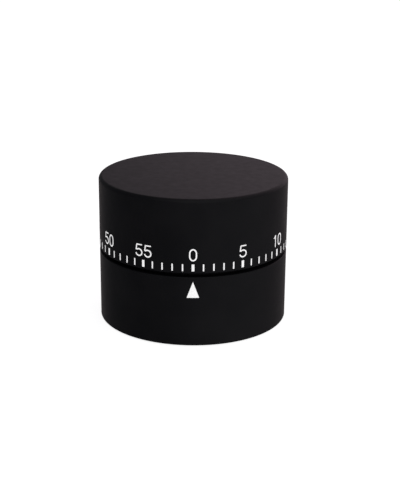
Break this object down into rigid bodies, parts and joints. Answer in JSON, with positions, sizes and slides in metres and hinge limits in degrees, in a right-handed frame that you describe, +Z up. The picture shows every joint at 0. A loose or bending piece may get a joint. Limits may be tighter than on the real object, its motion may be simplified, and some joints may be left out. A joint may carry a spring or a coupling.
{
  "type": "kitchen timer",
  "caption": "Drum-shaped wind-up kitchen timer: a turning dial cap with minute marks on a fixed base that holds a clock movement and a bell.",
  "frame": {"origin": "on the table, under the axis of the drum", "axes": "+Z up along the drum's axis; -Y towards the user, through the printed pointer"},
  "size_m": [0.065, 0.065, 0.0505],
  "materials": {
    "black_plastic": "matte",
    "cover_plastic": "fine matte grain",
    "rubber": "matte",
    "white_print": "matte ink",
    "brass": "brushed",
    "steel": "brushed",
    "spring_steel": "blued",
    "bell_steel": "polished"
  },
  "bodies": {
    "timer_base": {"base_housing": "black_plastic", "bottom_cover": "cover_plastic", "cover_screws": "steel", "rubber_feet": "rubber", "base_pointer": "white_print", "lower_plate": "brass", "upper_plate": "brass", "plate_pillars": "steel", "pillar_screws": "steel", "movement_screws": "steel", "mainspring": "spring_steel", "spring_post": "steel", "hairspring": "spring_steel", "hairspring_stud": "brass", "hammer_spring": "spring_steel", "bell": "bell_steel", "bell_post": "steel", "bell_screw": "steel", "lever_pivot": "steel", "lever_spring": "spring_steel", "spring_pins": "steel"},
    "dial": {"dial_cap": "black_plastic", "dial_ticks": "white_print", "dial_numerals": "white_print", "main_arbor": "steel", "arbor_clip": "steel", "ratchet_wheel": "steel", "release_cam": "steel"},
    "main_drive": {"main_wheel": "brass", "click": "steel", "click_rivet": "steel", "click_spring": "spring_steel"},
    "second_arbor": {"second_pinion": "steel", "second_wheel": "brass"},
    "third_arbor": {"third_pinion": "steel", "third_wheel": "brass"},
    "escape_arbor": {"escape_pinion": "steel", "escape_wheel": "brass"},
    "pallets": {"pallet_arbor": "steel", "pallet_lever": "brass", "pallet_pins": "steel"},
    "balance": {"balance_staff": "steel", "balance_wheel": "brass", "impulse_roller": "brass"},
    "strike_arbor": {"strike_pinion": "steel", "strike_wheel": "steel"},
    "hammer": {"hammer_arbor": "steel", "hammer_verge": "steel", "hammer_catch": "steel", "hammer_arm": "steel", "hammer_head": "brass"},
    "release": {"release_lever": "steel"}
  },
  "joints": [
    {"name": "dial_turn", "type": "hinge", "parent": "timer_base", "child": "dial", "pos_m": [0, 0, 0.02], "axis": [0, 0, 1], "range_deg": [-354, 0], "deforming": ["mainspring"]},
    {"name": "main_wheel_turn", "type": "hinge", "parent": "timer_base", "child": "main_drive", "pos_m": [0, 0, 0.02], "axis": [0, 0, 1], "range_deg": [-354, 0]},
    {"name": "second_wheel_spin", "type": "hinge", "parent": "timer_base", "child": "second_arbor", "pos_m": [0.01278, 0.00465, 0.02], "axis": [0, 0, 1], "range_deg": [0, 2655]},
    {"name": "third_wheel_spin", "type": "hinge", "parent": "timer_base", "child": "third_arbor", "pos_m": [0.01201, 0.01407, 0.02], "axis": [0, 0, 1], "range_deg": [-21240, 0]},
    {"name": "escape_wheel_spin", "type": "hinge", "parent": "timer_base", "child": "escape_arbor", "pos_m": [0.00533, 0.01824, 0.02], "axis": [0, 0, 1], "range_deg": [0, 169920]},
    {"name": "strike_wheel_spin", "type": "hinge", "parent": "timer_base", "child": "strike_arbor", "pos_m": [-0.01278, -0.00465, 0.02], "axis": [0, 0, 1], "range_deg": [0, 2655]},
    {"name": "pallet_swing", "type": "hinge", "parent": "timer_base", "child": "pallets", "pos_m": [-0.00072, 0.01949, 0.02], "axis": [0, 0, 1], "range_deg": [-5, 5]},
    {"name": "balance_swing", "type": "hinge", "parent": "timer_base", "child": "balance", "pos_m": [-0.00727, 0.01701, 0.02], "axis": [0, 0, 1], "range_deg": [-150, 150], "stiffness_Nm_per_rad": 0.000005, "deforming": ["hairspring"]},
    {"name": "hammer_swing", "type": "hinge", "parent": "timer_base", "child": "hammer", "pos_m": [-0.0156, -0.00995, 0.02], "axis": [0, 0, -1], "range_deg": [0, 4.5], "stiffness_Nm_per_rad": 0.004, "deforming": ["hammer_spring"]},
    {"name": "lever_drop", "type": "hinge", "parent": "timer_base", "child": "release", "pos_m": [-0.0023, -0.01634, 0.02], "axis": [0, 0, -1], "range_deg": [0, 6], "deforming": ["lever_spring"]}
  ],
  "couplings": [
    {"joint": "main_wheel_turn", "follows": "dial_turn", "ratio": 1},
    {"joint": "second_wheel_spin", "follows": "dial_turn", "ratio": -7.5},
    {"joint": "third_wheel_spin", "follows": "dial_turn", "ratio": 60},
    {"joint": "escape_wheel_spin", "follows": "dial_turn", "ratio": -480},
    {"joint": "strike_wheel_spin", "follows": "dial_turn", "ratio": -7.5}
  ]
}
